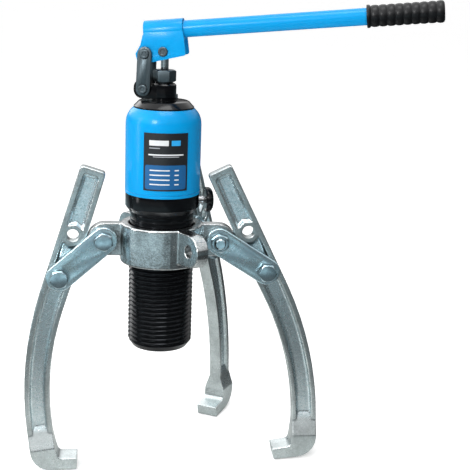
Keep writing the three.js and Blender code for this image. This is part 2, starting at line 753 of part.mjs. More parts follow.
function leverSocket() {
  const wall = TUBE_R + GAP + CHEEK_THICK;
  let body = moved(rod(wall, TUBE_START - 5, 24, 36), tubeFrame());
  const cheeks = rounded([
    [-26.5, 413.5],
    [-29.2, 401.5],
    [-35.2, 390.5, 3],
    [-32.2, 379, 5],
    [-14, 380.6],
    [29.2, 391.2, 3],
    [26.5, 411],
    [24.5, 421],
    [-25, 417],
  ], 4);
  const outside = CHEEK_INSIDE + CHEEK_THICK;
  const plates = moved(prism(cheeks, -outside, outside), leverFrame());
  const between = moved(prism([[-45, 370], [45, 370], [45, 413], [-45, 404]],
    -CHEEK_INSIDE, CHEEK_INSIDE), leverFrame());
  body = body.add(plates).subtract(between);
  body = body.subtract(moved(rod(TUBE_R + GAP, TUBE_START - GAP, 60, 36), tubeFrame()));
  const linkHole = rod(LEVER_PIN_R + GAP, -30, 30, 20).translate(LINK_HIGH.r, LINK_HIGH.z, 0);
  const slot = prism(
    stadiumPoints([-0.2, PLUNGER_PIN.z], [1.5, PLUNGER_PIN.z + 0.3], LEVER_PIN_R + 0.6, 8), -30, 30);
  body = body.subtract(moved(linkHole, leverFrame())).subtract(moved(slot, leverFrame()));
  return toMesh(body, 'lever_socket', bluePaint());
}

function leverTube() {
  const body = turned([
    [TUBE_R - TUBE_WALL, TUBE_START], [TUBE_R, TUBE_START],
    [TUBE_R, GRIP_END - 8], [TUBE_R - TUBE_WALL, GRIP_END - 8],
  ], 32);
  return toMesh(moved(body, tubeFrame()), 'lever_tube', bluePaint());
}

function leverGrip() {
  const inner = TUBE_R + GAP;
  const profile = [
    [inner, GRIP_START], [14.2, GRIP_START], [14.2, GRIP_START + 3.4], [12, GRIP_START + 4.6],
  ];
  const first = GRIP_START + 9;
  for (let i = 0; i < 7; i += 1) {
    const z = first + 10.8 * i;
    profile.push([12, z], [13.2, z + 0.8], [13.2, z + 3.4], [12, z + 4.2]);
  }
  profile.push([12, GRIP_END - 3], [9.5, GRIP_END], [0, GRIP_END], [0, GRIP_END - 8 + GAP]);
  profile.push([inner, GRIP_END - 8 + GAP]);
  return toMesh(moved(turned(profile, 20), tubeFrame()), 'lever_grip', gripRubber());
}

// ------------------------------------------------------------------ assembly
function powerUnit() {
  const unit = new THREE.Group();
  unit.name = 'power_unit';
  unit.add(barrel(), endRing(), baseBlock(), tank(), tankSeal(), tankLabel());
  unit.add(suctionTube(), topPlate(), fillerPlug(), valveStem(), valveKnob());
  unit.add(pumpBody(), glandNut(), plunger());
  unit.add(ram(), piston(), pistonSeal(), returnSpring());
  return unit;
}

function pumpLever() {
  const lever = new THREE.Group();
  lever.name = 'pump_lever';
  const linkReach = LUG_HALF + GAP + LINK_THICK + GAP;
  const cheekReach = CHEEK_INSIDE + CHEEK_THICK + GAP;
  lever.add(link(1), link(-1), leverSocket(), leverTube(), leverGrip());
  lever.add(crossPin('link_pin_low', LINK_LOW, linkReach, 5.6));
  lever.add(crossPin('link_pin_high', LINK_HIGH, linkReach, 5.6));
  lever.add(crossPin('plunger_pin', PLUNGER_PIN, cheekReach, 6.6));
  return lever;
}

const puller = new THREE.Group();
puller.name = 'gear_puller';
puller.add(collar(), powerUnit(), pumpLever());
for (const leg of LEGS) {
  puller.add(jawLeg(leg));
}

export default puller;
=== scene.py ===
"""Looks for a hydraulic three-jaw gear puller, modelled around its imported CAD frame.

Metres, +Z up. The ram axis is Z, the ram nose is at the origin, +X is the right-hand leg.
Sizes in the modelling functions are written in millimetres.
"""

import json
import math

import bpy
from mathutils import Matrix, Vector


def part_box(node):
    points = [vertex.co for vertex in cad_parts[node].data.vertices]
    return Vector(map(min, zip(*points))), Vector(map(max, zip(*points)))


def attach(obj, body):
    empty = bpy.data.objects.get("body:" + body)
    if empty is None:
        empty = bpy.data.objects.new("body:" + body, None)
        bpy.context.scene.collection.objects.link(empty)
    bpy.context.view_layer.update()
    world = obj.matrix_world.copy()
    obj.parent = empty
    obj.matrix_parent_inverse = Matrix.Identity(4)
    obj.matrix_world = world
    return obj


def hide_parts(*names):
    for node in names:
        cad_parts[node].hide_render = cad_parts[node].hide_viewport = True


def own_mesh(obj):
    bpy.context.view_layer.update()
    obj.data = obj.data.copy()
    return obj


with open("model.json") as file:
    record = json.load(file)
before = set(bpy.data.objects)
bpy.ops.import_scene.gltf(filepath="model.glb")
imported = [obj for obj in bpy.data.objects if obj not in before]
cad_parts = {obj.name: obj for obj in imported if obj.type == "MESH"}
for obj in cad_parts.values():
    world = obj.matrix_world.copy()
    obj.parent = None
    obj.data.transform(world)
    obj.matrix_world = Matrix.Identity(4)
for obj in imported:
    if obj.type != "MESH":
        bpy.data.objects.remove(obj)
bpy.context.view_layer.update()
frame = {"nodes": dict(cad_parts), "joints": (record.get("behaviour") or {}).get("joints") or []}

MM = 0.001
UP = Vector((0, 0, 1))
FULL_TURN = 2 * math.pi
JOINTS = {joint["name"]: joint for joint in frame["joints"]}
LEGS = ("left", "right", "rear")

# ------------------------------------------------------------------ dimensions
ARM_TO_STRAP = 31.5  # degrees between a strap and its arm
ARM_HALF_THICK = 8.6
STRAP_THICK = 8.0
STRAP_ROUND = 17.5
BOLT_RADIUS = 7.0
BOLT_ROOT = 6.1
BOLT_PITCH = 2.0
BOLT_HOLE = 7.4  # radius of the holes in a strap
BOLT_TAIL = 3.2  # how far the thread stands out of the nut
HEX_FLATS = 22.0
HEAD_HEIGHT = 9.0
NUT_HEIGHT = 11.5
NUT_TURN = 12  # degrees that a nut's corner is turned from the leg's own direction
PLAY = 0.3
STRAP_FACE = ARM_HALF_THICK + PLAY  # inner face of a strap, from the leg's middle
BOLT_FACE = ARM_HALF_THICK + STRAP_THICK + 2 * PLAY  # where a bolt head or nut sits
EAR_HEAD_SIDE = {"left": -1, "right": -1, "rear": -1}
ARM_HEAD_SIDE = {"left": -1, "right": 1, "rear": -1}
THREAD_CREST = 42.5
THREAD_ROOT = 39.8
THREAD_PITCH = 6.0
BARREL_BORE = 30
NECK_RADIUS = 41.6
NECK_LENGTH = 20.7
TANK_RADIUS = 48.8
TANK_WALL = 3
LABEL_RADIUS = 49.15
LEVER_RISE = 6.2  # degrees
TUBE_AXIS_HEIGHT = 420.4
VALVE_AZIMUTH = 8.0
VALVE_HEIGHT = 201.0
KNOB_FLUTES = 12
GLAND_FLATS = 26
GLAND_TURN = -8  # degrees that the gland nut's corner is turned from +X
GLAND_SPIGOT = 7.4
PIN_HEAD = 2.2
GRIP_START = 252.5  # along the lever tube
GRIP_END = 347.0
GRIP_RINGS = 8
GRIP_RING_STEP = 9.9
LABEL_AZIMUTH = -88.0
LABEL_HALF_ANGLE = 34.0
VOXEL = 0.95  # grid for castings and forgings
MERGE = 0.002  # points closer than this become one

# ------------------------------------------------------------------ floor and camera
NEAR_PAINTED_REFLECTION = (0.95, 0.97, 0.95)  # painted reflection: the floor's colour as the metal mirrors it, not as the camera sees it
MIDDLE_PAINTED_REFLECTION = (0.13, 0.145, 0.15)
FAR_PAINTED_REFLECTION = (0.56, 0.74, 0.80)
FRONT_PAINTED_REFLECTION = (1.0, 1.0, 1.0)
RIGHT_PAINTED_REFLECTION = (0.03, 0.03, 0.03)
FLOOR_RADIUS = 60  # metres
TOE_GAP = 0.0004  # metres between the toes and the floor
CAMERA_PLACE = (-0.068, -1.420, 0.5105)
CAMERA_ANGLES = (6.65, 13.97, 2.05)  # yaw, pitch down and roll, in degrees
CAMERA_LENS = 84.94


# ------------------------------------------------------------------ placing
def placing(x, y, z, origin):
    """Matrix that carries local x, y and z onto three directions at an origin."""
    made = Matrix((x, y, z)).transposed().to_4x4()
    made.translation = origin
    return made


def joint_point(name):
    return Vector(JOINTS[name]["pos_m"])


def joint_axis(name):
    return Vector(JOINTS[name]["axis"])


def strap_frame(leg):
    """Local x runs from the ear bolt to the arm bolt, y is outward and z across the leg."""
    start = joint_point("fold_" + leg)
    along = (joint_point("tip_" + leg) - start).normalized()
    across = -joint_axis("fold_" + leg)
    return placing(along, across.cross(along), across, start)


def strap_length(leg):
    return (joint_point("tip_" + leg) - joint_point("fold_" + leg)).length


def arm_frame(leg):
    """Local x runs down the arm from its bolt, y is outward and z across the leg."""
    turn = Matrix.Rotation(math.radians(-ARM_TO_STRAP), 4, "Z")
    return strap_frame(leg) @ Matrix.Translation((strap_length(leg), 0, 0)) @ turn


def lever_frame():
    """Local x runs towards the hand grip, y is up and z across the lever."""
    across = joint_axis("lever")
    return placing(UP.cross(across), UP, across, Vector((0, 0, 0)))


def tube_frame():
    """Local z runs along the lever tube, from where it crosses the ram axis."""
    across = joint_axis("lever")
    out = UP.cross(across)
    lean = math.radians(LEVER_RISE)
    along = out * math.cos(lean) + UP * math.sin(lean)
    return placing(across, along.cross(across), along, UP * TUBE_AXIS_HEIGHT * MM)


def valve_frame():
    """Local z points outward along the release valve."""
    turn = math.radians(VALVE_AZIMUTH)
    out = Vector((math.cos(turn), math.sin(turn), 0))
    return placing(UP.cross(out), UP, out, UP * VALVE_HEIGHT * MM)


# ------------------------------------------------------------------ modelling by hand
def nothing_selected():
    if bpy.context.object and bpy.context.object.mode != "OBJECT":
        bpy.ops.object.mode_set(mode="OBJECT")
    bpy.ops.object.select_all(action="DESELECT")


def only(obj):
    nothing_selected()
    obj.select_set(True)
    bpy.context.view_layer.objects.active = obj
    return obj


def editing_all(obj):
    only(obj)
    bpy.ops.object.mode_set(mode="EDIT")
    bpy.ops.mesh.select_all(action="SELECT")


def done():
    bpy.ops.object.mode_set(mode="OBJECT")
    return bpy.context.object


def named(name):
    made = bpy.context.object
    made.name = made.data.name = name
    return made


def with_modifier(obj, kind, **settings):
    """Adds one modifier with its settings and applies it."""
    only(obj)
    modifier = obj.modifiers.new(kind.title(), kind)
    for key, value in settings.items():
        setattr(modifier, key, value)
    bpy.ops.object.modifier_apply(modifier=modifier.name)
    return obj


def placed(obj, matrix):
    """Moves a piece into place and leaves the place in its mesh."""
    only(obj)
    obj.matrix_world = matrix
    bpy.ops.object.transform_apply(location=True, rotation=True, scale=True)
    return obj


def duplicate(obj, name):
    """A copy with its own mesh."""
    made = bpy.data.objects.new(name, obj.data.copy())
    made.data.name = name
    bpy.context.scene.collection.objects.link(made)
    return made


def smoothed(obj, angle=35):
    only(obj)
    bpy.ops.object.shade_smooth_by_angle(angle=math.radians(angle))
    return obj


def eased(obj, width, segments=2, angle=30):
    """Rounds every edge sharper than the angle."""
    with_modifier(
        obj,
        "BEVEL",
        width=width * MM,
        segments=segments,
        limit_method="ANGLE",
        angle_limit=math.radians(angle),
    )
    return smoothed(obj)


def drawn_line(name, points):
    """A chain of edges drawn by extruding one vertex from point to point; left in edit mode."""
    nothing_selected()
    bpy.ops.mesh.primitive_plane_add(size=MM)
    named(name)
    bpy.ops.object.mode_set(mode="EDIT")
    bpy.ops.mesh.select_all(action="SELECT")
    bpy.ops.mesh.merge(type="CENTER")
    here = Vector(points[0]) * MM
    bpy.ops.transform.translate(value=here)
    for point in points[1:]:
        step = Vector(point) * MM - here
        bpy.ops.mesh.extrude_vertices_move(TRANSFORM_OT_translate={"value": step})
        here = here + step
    bpy.ops.mesh.select_all(action="SELECT")


def merged_outward():
    bpy.ops.mesh.select_all(action="SELECT")
    bpy.ops.mesh.remove_doubles(threshold=MERGE * MM)
    bpy.ops.mesh.normals_make_consistent(inside=False)


def turned(name, profile, steps=96):
    """A piece turned about Z from (radius, height) points; a profile off the axis is closed."""
    points = [(radius, 0, height) for radius, height in profile]
    if profile[0][0] > 0 and profile[-1][0] > 0:
        points.append(points[0])
    drawn_line(name, points)
    bpy.ops.mesh.spin(steps=steps, angle=FULL_TURN, center=(0, 0, 0), axis=(0, 0, 1))
    merged_outward()
    return done()


def cut_bar(name, outline, low, high):
    """A flat bar: a closed outline in x and y, filled and extruded from low to high."""
    points = [(x, y, low) for x, y in outline]
    drawn_line(name, points + points[:1])
    bpy.ops.mesh.remove_doubles(threshold=MERGE * MM)
    bpy.ops.mesh.edge_face_add()
    step = (0, 0, (high - low) * MM)
    bpy.ops.mesh.extrude_region_move(TRANSFORM_OT_translate={"value": step})
    merged_outward()
    return done()


def arc(x, y, radius, start, end, steps):
    """Points on an arc, angles in degrees."""
    turns = [math.radians(start + (end - start) * i / steps) for i in range(steps + 1)]
    return [(x + radius * math.cos(a), y + radius * math.sin(a)) for a in turns]


def combined(obj, tool, operation):
    """Joins, cuts or keeps the common part of two closed pieces; the tool is used up."""
    with_modifier(obj, "BOOLEAN", operation=operation, object=tool, solver="EXACT")
    mesh = tool.data
    bpy.data.objects.remove(tool)
    bpy.data.meshes.remove(mesh)
    return obj


def drilled(obj, radius, matrix, low=-60, high=60, steps=48):
    """Bores a hole along the local z of a placing."""
    drill = turned("drill", [(0, low), (radius, low), (radius, high), (0, high)], steps)
    return combined(obj, placed(drill, matrix), "DIFFERENCE")


def threaded_rod(name, crest, root, pitch, low, high, steps):
    """A solid rod about Z with a screw thread, cut flat at both ends."""
    tooth = [(root, 0), (crest, 0.4), (crest, 0.52), (root, 0.92), (root, 1)]
    drawn_line(name, [(r, 0, low - pitch + share * pitch) for r, share in tooth])
    rod = done()
    with_modifier(
        rod,
        "SCREW",
        axis="Z",
        angle=FULL_TURN,
        screw_offset=pitch * MM,
        iterations=math.ceil((high - low) / pitch) + 2,
        steps=steps,
        render_steps=steps,
    )
    editing_all(rod)
    bpy.ops.mesh.remove_doubles(threshold=MERGE * MM)
    bpy.ops.mesh.select_all(action="SELECT")
    bpy.ops.mesh.bisect(plane_co=(0, 0, low * MM), plane_no=UP, use_fill=True, clear_inner=True)
    bpy.ops.mesh.select_all(action="SELECT")
    bpy.ops.mesh.bisect(plane_co=(0, 0, high * MM), plane_no=UP, use_fill=True, clear_outer=True)
    merged_outward()
    return done()


def hexagon(name, flats, low, high, turned_low, turned_high, turn=0):
    """A hexagon bar with a corner towards turn, its corners turned off at one end or both."""
    nothing_selected()
    corner = flats / math.sqrt(3)
    bpy.ops.mesh.primitive_cylinder_add(
        vertices=6,
        radius=corner * MM,
        depth=(high - low) * MM,
        location=(0, 0, (low + high) / 2 * MM),
        rotation=(0, 0, math.radians(turn - 30)),
    )
    bar = named(name)
    bpy.ops.object.transform_apply(location=True, rotation=True, scale=True)
    slope = math.tan(math.radians(30))
    wide = corner + 0.2
    run = (wide - flats / 2 * 0.96) * slope
    narrow = wide - (run + 1) / slope
    profile = [(0, low - 1), (narrow if turned_low else wide, low - 1)]
    profile += [(wide, low + run), (wide, high - run)]
    profile += [(narrow if turned_high else wide, high + 1), (0, high + 1)]
    return combined(bar, turned("corner_turning", profile), "INTERSECT")


def copied(node, name):
    """A copy of a CAD node's mesh with its triangles merged and its flat faces made whole."""
    made = duplicate(frame["nodes"][node], name)
    only(made)
    bpy.ops.mesh.customdata_custom_splitnormals_clear()
    editing_all(made)
    bpy.ops.mesh.remove_doubles(threshold=0.01 * MM)
    bpy.ops.mesh.dissolve_limited(angle_limit=math.radians(0.6))
    return done()


def cast(obj, grid, passes):
    """The soft edges and fillets of a casting or forging: remeshed on a fine grid and smoothed."""
    with_modifier(obj, "REMESH", mode="VOXEL", voxel_size=grid * MM, use_smooth_shade=True)
    with_modifier(obj, "SMOOTH", factor=0.5, iterations=passes)
    return obj


# ------------------------------------------------------------------ finishes
def fill_sockets(tree, made, inputs):
    """Sets a node's inputs from plain values, or links them from sockets."""
    for socket, value in inputs.items():
        if isinstance(value, bpy.types.NodeSocket):
            tree.links.new(value, made.inputs[socket])
        else:
            made.inputs[socket].default_value = value
    return made


def node(tree, kind, inputs=None, **settings):
    made = tree.nodes.new("ShaderNode" + kind)
    for key, value in settings.items():
        setattr(made, key, value)
    return fill_sockets(tree, made, inputs or {})


def maths(tree, operation, first, second=0.0, clamp=False):
    made = node(tree, "Math", {0: first, 1: second}, operation=operation, use_clamp=clamp)
    return made.outputs[0]


def ramp(tree, value, start, end, low=0.0, high=1.0):
    """Goes evenly from low, where the value is at start, to high at end."""
    return node(tree, "MapRange", {0: value, 1: start, 2: end, 3: low, 4: high}).outputs[0]


def node_group(name, inputs, outputs):
    """A reusable node group with named inputs and outputs; returns it with its two ends."""
    tree = bpy.data.node_groups.new(name, "ShaderNodeTree")
    add_socket = tree.interface.new_socket
    for label, kind, value in inputs:
        socket = add_socket(label, in_out="INPUT", socket_type="NodeSocket" + kind)
        if value is not None:
            socket.default_value = value
    for label, kind in outputs:
        add_socket(label, in_out="OUTPUT", socket_type="NodeSocket" + kind)
    given = tree.nodes.new("NodeGroupInput").outputs
    return tree, given, tree.nodes.new("NodeGroupOutput").inputs


def spread_tone(tree, value, contrast):
    """A noise value spread about its middle by a contrast."""
    centred = maths(tree, "SUBTRACT", value, 0.5)
    return maths(tree, "ADD", maths(tree, "MULTIPLY", centred, contrast), 0.5, clamp=True)


def patchy(tree, mask, given, patches, gate):
    """Breaks a mask up with noise patches and scales it by the group's Amount."""
    scale, detail = patches
    noise = node(tree, "TexNoise", {"Vector": given["Place"], "Scale": scale, "Detail": detail})
    broken = maths(tree, "MULTIPLY", mask, ramp(tree, noise.outputs[0], *gate))
    return maths(tree, "MULTIPLY", broken, given["Amount"], clamp=True)


def surface_grain_group():
    """Uneven tone and fine roughness of a surface, stretched along any axis for brushing."""
    tree, given, out = node_group(
        "Surface grain",
        [
            ("Place", "Vector", None),
            ("Stretch", "Vector", (1, 1, 1)),
            ("Scale", "Float", 100.0),
            ("Detail", "Float", 4.0),
            ("Contrast", "Float", 1.0),
        ],
        [("Tone", "Float"), ("Height", "Float")],
    )
    place = node(tree, "VectorMath", {0: given["Place"], 1: given["Stretch"]}, operation="MULTIPLY")
    scaled = {"Scale": given["Scale"], "Detail": given["Detail"]}
    noise = node(tree, "TexNoise", {"Vector": place.outputs[0]} | scaled)
    tree.links.new(spread_tone(tree, noise.outputs[0], given["Contrast"]), out["Tone"])
    tree.links.new(noise.outputs[0], out["Height"])
    return tree


def zinc_spangle_group():
    """Crystal patches of zinc plating, with one tone for each crystal."""
    tree, given, out = node_group(
        "Zinc spangle",
        [
            ("Place", "Vector", None),
            ("Crystal Scale", "Float", 300.0),
            ("Contrast", "Float", 1.0),
        ],
        [("Tone", "Float")],
    )
    wobble = node(tree, "TexNoise", {"Vector": given["Place"], "Scale": 160.0, "Detail": 2.0})
    wobble = {0: wobble.outputs["Color"], "Scale": 0.004}
    moved = node(tree, "VectorMath", wobble, operation="SCALE").outputs[0]
    place = node(tree, "VectorMath", {0: given["Place"], 1: moved}, operation="ADD").outputs[0]
    cells = node(tree, "TexVoronoi", {"Vector": place, "Scale": given["Crystal Scale"]})
    split = node(tree, "SeparateColor", {0: cells.outputs["Color"]})
    tree.links.new(spread_tone(tree, split.outputs[0], given["Contrast"]), out["Tone"])
    return tree


def edge_wear_group():
    """Mask of rubbed edges with a painted edge highlight, broken up so that it is uneven."""
    tree, given, out = node_group(
        "Edge wear",
        [("Place", "Vector", None), ("Reach", "Float", 0.001), ("Amount", "Float", 1.0)],
        [("Mask", "Float")],
    )
    # Painted edge highlight with rubbed metal: edges all round take the lighter colour.
    rounded = node(tree, "Bevel", {"Radius": given["Reach"]}, samples=4).outputs[0]
    facing = node(tree, "NewGeometry").outputs["Normal"]
    match = node(tree, "VectorMath", {0: rounded, 1: facing}, operation="DOT_PRODUCT")
    edge = ramp(tree, match.outputs["Value"], 0.995, 0.88)
    mask = patchy(tree, edge, given, (220.0, 5.0), (0.36, 0.62, 0.15))
    tree.links.new(mask, out["Mask"])
    return tree


def workshop_grime_group():
    """Mask of oil and dust in corners, with painted shade where ambient occlusion finds corners and
    hollows.
    """
    tree, given, out = node_group(
        "Workshop grime",
        [("Place", "Vector", None), ("Reach", "Float", 0.01), ("Amount", "Float", 0.5)],
        [("Mask", "Float")],
    )
    # Painted shade: ambient occlusion darkens corners, creases and recesses.
    open_sky = node(tree, "AmbientOcclusion", {"Distance": given["Reach"]}, samples=4)
    corner = ramp(tree, open_sky.outputs["AO"], 0.85, 0.25)
    mask = patchy(tree, corner, given, (90.0, 4.0), (0.3, 0.6, 0.4))
    tree.links.new(mask, out["Mask"])
    return tree


def round_box_group():
    """Mask of a box with round corners on a flat or unrolled surface, in millimetres."""
    tree, given, out = node_group(
        "Round box",
        [
            ("Along", "Float", 0.0),
            ("Up", "Float", 0.0),
            ("Middle Along", "Float", 0.0),
            ("Middle Up", "Float", 0.0),
            ("Half Along", "Float", 1.0),
            ("Half Up", "Float", 1.0),
            ("Corner", "Float", 1.0),
        ],
        [("Mask", "Float")],
    )

    def beyond(way):
        offset = maths(tree, "SUBTRACT", given[way], given["Middle " + way])
        over = maths(tree, "SUBTRACT", maths(tree, "ABSOLUTE", offset), given["Half " + way])
        return maths(tree, "MAXIMUM", maths(tree, "ADD", over, given["Corner"]))

    corner = node(tree, "CombineXYZ", {0: beyond("Along"), 1: beyond("Up")}).outputs[0]
    reach = node(tree, "VectorMath", {0: corner}, operation="LENGTH").outputs["Value"]
    inside = maths(tree, "SUBTRACT", given["Corner"], reach)
    tree.links.new(ramp(tree, inside, -0.05, 0.12), out["Mask"])
    return tree


GRAIN = surface_grain_group()
SPANGLE = zinc_spangle_group()
WEAR_AND_HIGHLIGHT = edge_wear_group()
GRIME_AND_SHADE = workshop_grime_group()
ROUND_BOX = round_box_group()


def grouped(tree, group, inputs):
    made = tree.nodes.new("ShaderNodeGroup")
    made.node_tree = group
    return fill_sockets(tree, made, inputs)


def blended(tree, share, first, second):
    """Mixes two colours or two numbers by a mask."""
    number = isinstance(second, float)
    made = node(tree, "Mix", data_type="FLOAT" if number else "RGBA")
    sockets = (0, 2, 3) if number else (0, 6, 7)
    values = [(*v, 1.0) if isinstance(v, tuple) else v for v in (share, first, second)]
    fill_sockets(tree, made, dict(zip(sockets, values)))
    return made.outputs[0 if number else 2]


def new_material(name):
    material = bpy.data.materials.new(name)
    material.use_nodes = True
    tree = material.node_tree
    tree.nodes.clear()
    place = node(tree, "TexCoord").outputs["Object"]
    shader = node(tree, "BsdfPrincipled")
    output = node(tree, "OutputMaterial")
    tree.links.new(shader.outputs[0], output.inputs["Surface"])
    return material, tree, place, shader


def bumped(tree, layers):
    """Stacks bumps from (height socket, strength, depth in mm) layers."""
    normal = None
    for height, strength, depth in layers:
        inputs = {"Height": height, "Strength": strength, "Distance": depth * MM}
        if normal is not None:
            inputs["Normal"] = normal
        normal = node(tree, "Bump", inputs).outputs[0]
    return normal


def worn_finish(name, light, dark, rough, **look):
    """A metal or painted finish: two tones of grain, crystals, worn edges with a painted edge
    highlight, oil and dust with painted shade in corners, and bump.

    light and dark are the two tones, rough the two roughnesses that go with them, and look
    holds the rest by name, with a plain new surface where a name is missing.
    """
    material, tree, place, shader = new_material(name)
    brushed = {"Place": place, "Stretch": look.get("stretch", (1, 1, 1))}
    coarse = {"Scale": look["grain_scale"], "Detail": 5.0, "Contrast": look.get("contrast", 1.6)}
    fine = {"Scale": look.get("fine_scale", 1500.0), "Detail": 3.0, "Contrast": 1.4}
    tone = grouped(tree, GRAIN, brushed | coarse).outputs["Tone"]
    fine_height = grouped(tree, GRAIN, brushed | fine).outputs["Height"]
    colour = blended(tree, tone, dark, light)
    roughness = blended(tree, tone, rough[1], rough[0])
    bumps = [(fine_height, look.get("fine_bump", 0.15), look.get("fine_depth", 0.05))]
    if "crystal_scale" in look:
        spangle = {"Place": place, "Crystal Scale": look["crystal_scale"], "Contrast": 1.0}
        relief = grouped(tree, SPANGLE, spangle).outputs["Tone"]
        share = maths(tree, "MULTIPLY", relief, look["crystal_share"])
        if "crystal_mask" in look:
            struck = node(tree, "Attribute", attribute_name=look["crystal_mask"]).outputs["Fac"]
            colour = blended(tree, struck, colour, look["struck_colour"])
            keep = ramp(tree, struck, 0.0, 1.0, low=0.25)
            share = maths(tree, "MULTIPLY", share, keep)
            relief = maths(tree, "MULTIPLY", relief, keep)
        colour = blended(tree, share, colour, look["crystal_colour"])
        roughness = blended(tree, share, roughness, look["crystal_rough"])
        bumps.append((relief, look["crystal_bump"], 0.08))
    if "lump_scale" in look:
        waves = {"Place": place, "Scale": look["lump_scale"], "Detail": 2.0, "Contrast": 1.0}
        lumps = grouped(tree, GRAIN, waves).outputs["Height"]
        bumps.append((lumps, look["lump_bump"], look.get("lump_depth", 0.4)))
    # Oil and dust with painted shade: corners take the darker colour.
    if "grime" in look:
        reach, amount, grime_colour = look["grime"]
        grime = grouped(tree, GRIME_AND_SHADE, {"Place": place, "Reach": reach * MM, "Amount": amount})
        colour = blended(tree, grime.outputs[0], colour, grime_colour)
        roughness = blended(tree, grime.outputs[0], roughness, 0.6)
    metallic = look.get("metallic", 1.0)
    # Edges take a lighter colour: rubbed metal with a painted highlight.
    if "wear" in look:
        reach, amount, bare_and_highlit = look["wear"]
        wear = grouped(tree, WEAR_AND_HIGHLIGHT, {"Place": place, "Reach": reach * MM, "Amount": amount})
        colour = blended(tree, wear.outputs[0], colour, bare_and_highlit)
        roughness = blended(tree, wear.outputs[0], roughness, look.get("bare_rough", 0.3))
        if metallic < 1.0:
            metal = blended(tree, wear.outputs[0], metallic, 1.0)
            tree.links.new(metal, shader.inputs["Metallic"])
    shader.inputs["Metallic"].default_value = metallic
    shader.inputs["Coat Weight"].default_value = look.get("coat", 0.0)
    shader.inputs["Coat Roughness"].default_value = look.get("coat_rough", 0.1)
    shader.inputs["Specular IOR Level"].default_value = look.get("specular", 0.5)
    tree.links.new(colour, shader.inputs["Base Color"])
    tree.links.new(roughness, shader.inputs["Roughness"])
    tree.links.new(bumped(tree, bumps), shader.inputs["Normal"])
    return material


def label_finish():
    """A printed label: a dark field with plain bars above a blue panel, on the unrolled tank."""
    material, tree, place, shader = new_material("label_print")
    low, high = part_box("tank_label")
    middle_up = (low.z + high.z) / 2 / MM
    half_up = (high.z - low.z) / 2 / MM
    radius = high.x / math.sin(math.radians(LABEL_HALF_ANGLE + LABEL_AZIMUTH + 90)) / MM
    half_along = math.radians(LABEL_HALF_ANGLE) * radius
    facing = {"Vector": place, "Rotation": (0, 0, math.radians(-LABEL_AZIMUTH))}
    parts = node(tree, "SeparateXYZ", {0: node(tree, "Mapping", facing).outputs[0]}).outputs
    along = maths(tree, "MULTIPLY", maths(tree, "ARCTAN2", parts[1], parts[0]), radius)
    up = maths(tree, "MULTIPLY", parts[2], 1 / MM)

    def box_mask(x, y, half_x, half_y, corner):
        return grouped(
            tree,
            ROUND_BOX,
            {
                "Along": along,
                "Up": up,
                "Middle Along": x,
                "Middle Up": middle_up + y,
                "Half Along": half_x,
                "Half Up": half_y,
                "Corner": corner,
            },
        ).outputs[0]

    ink = grouped(tree, GRAIN, {"Place": place, "Scale": 400.0, "Detail": 3.0, "Contrast": 1.2})
    colour = blended(tree, ink.outputs["Tone"], (0.006, 0.007, 0.009), (0.012, 0.014, 0.018))
    panel_up = -half_up + 17.5
    panel = box_mask(0.0, panel_up, half_along - 2.2, 15.6, 3.0)
    colour = blended(tree, panel, colour, (0.003, 0.11, 0.31))
    pale = (0.75, 0.78, 0.8)
    bars = [
        (-9.5, 24.5, 12.5, 3.4, pale),
        (12.5, 24.5, 6.0, 3.4, (0.02, 0.4, 0.85)),
        (-15.0, 18.0, 7.0, 0.7, (0.35, 0.37, 0.4)),
        (0.0, 9.5, 23.0, 0.9, pale),
        (0.0, 7.0, 17.0, 0.5, (0.4, 0.42, 0.45)),
    ]
    for column, half_x in ((-8.0, 13.0), (14.0, 3.0)):
        bars += [(column, panel_up + row, half_x, 0.8, pale) for row in (9.0, 3.0, -3.0, -9.0)]
    for x, y, half_x, half_y, bar_colour in bars:
        bar = box_mask(x, y, half_x, half_y, min(half_y, 0.6))
        colour = blended(tree, bar, colour, bar_colour)
    tree.links.new(colour, shader.inputs["Base Color"])
    roughness = blended(tree, ink.outputs["Tone"], 0.28, 0.4)
    tree.links.new(roughness, shader.inputs["Roughness"])
    shader.inputs["Coat Weight"].default_value = 0.4
    shader.inputs["Coat Roughness"].default_value = 0.12
    tree.links.new(bumped(tree, [(ink.outputs["Height"], 0.1, 0.05)]), shader.inputs["Normal"])
    return material
